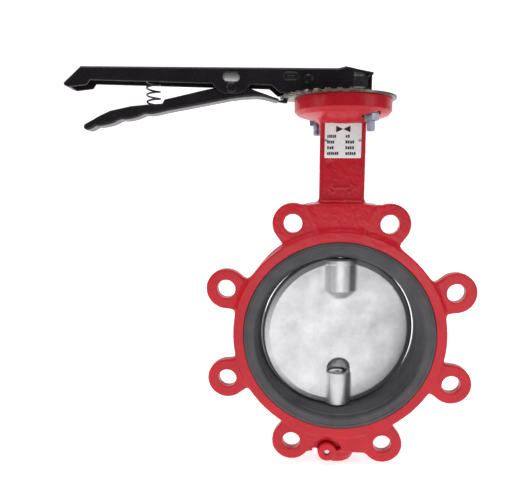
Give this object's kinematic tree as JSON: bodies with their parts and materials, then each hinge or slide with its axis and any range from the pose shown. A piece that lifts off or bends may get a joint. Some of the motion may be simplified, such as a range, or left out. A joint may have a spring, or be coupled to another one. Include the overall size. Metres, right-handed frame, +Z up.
{
  "type": "butterfly valve",
  "caption": "Lever-operated lugged butterfly valve: ring body with rubber seat, turning disc, long neck, notched top plate and a handle with a squeeze latch.",
  "frame": {"origin": "centre of the bore, where the pipe axis meets the stem axis", "axes": "+Z up along the stem towards the handle, Y along the pipe axis with -Y the front face, X across the bore"},
  "size_m": [0.3818, 0.1101, 0.3928],
  "materials": {
    "red_paint": "glossy red epoxy paint over cast iron",
    "rubber": "moulded black rubber",
    "disc_metal": "satin cast stainless disc",
    "stainless": "ground stainless",
    "zinc": "bluish zinc plate",
    "black_enamel": "black enamel on pressed steel",
    "bare_steel": "oiled bare steel",
    "bronze": "sintered bronze",
    "ptfe": "white low-friction plastic",
    "nameplate": "white printed plate with plain marks"
  },
  "bodies": {
    "valve": {"valve_body": "red_paint", "seat_liner": "rubber", "upper_bush": "bronze", "middle_bush": "bronze", "lower_bush": "bronze", "stem_o_ring_1": "rubber", "stem_o_ring_2": "rubber", "thrust_washer": "ptfe", "lower_shaft": "stainless", "lower_shaft_pin": "stainless", "bottom_plug": "zinc", "notch_plate": "bare_steel", "flange_screw_1": "zinc", "flange_screw_2": "zinc", "flange_washer_1": "zinc", "flange_washer_2": "zinc", "flange_nut_1": "zinc", "flange_nut_2": "zinc", "nameplate": "nameplate", "nameplate_rivet_1": "zinc", "nameplate_rivet_2": "zinc"},
    "lever": {"disc": "disc_metal", "upper_stem": "stainless", "stem_circlip": "bare_steel", "handle": "black_enamel", "stem_clamp": "zinc", "clamp_screw": "bare_steel", "head_rivet": "black_enamel", "pivot_pin": "bare_steel", "pivot_clip": "bare_steel", "trigger_stop": "zinc", "spring_stud": "zinc", "latch_spring": "stainless"},
    "trigger": {"trigger": "black_enamel", "spring_seat": "zinc"}
  },
  "joints": [
    {"name": "stem_turn", "type": "hinge", "parent": "valve", "child": "lever", "pos_m": [0, 0, 0], "axis": [0, 0, 1], "range_deg": [-10, 80]},
    {"name": "trigger_squeeze", "type": "hinge", "parent": "lever", "child": "trigger", "pos_m": [-0.10439, -0.01841, 0.234], "axis": [-0.1736, 0.9848, 0], "range_deg": [-4, 8], "stiffness_Nm_per_rad": 4, "springref_deg": 1.15, "deforming": ["latch_spring"]}
  ]
}
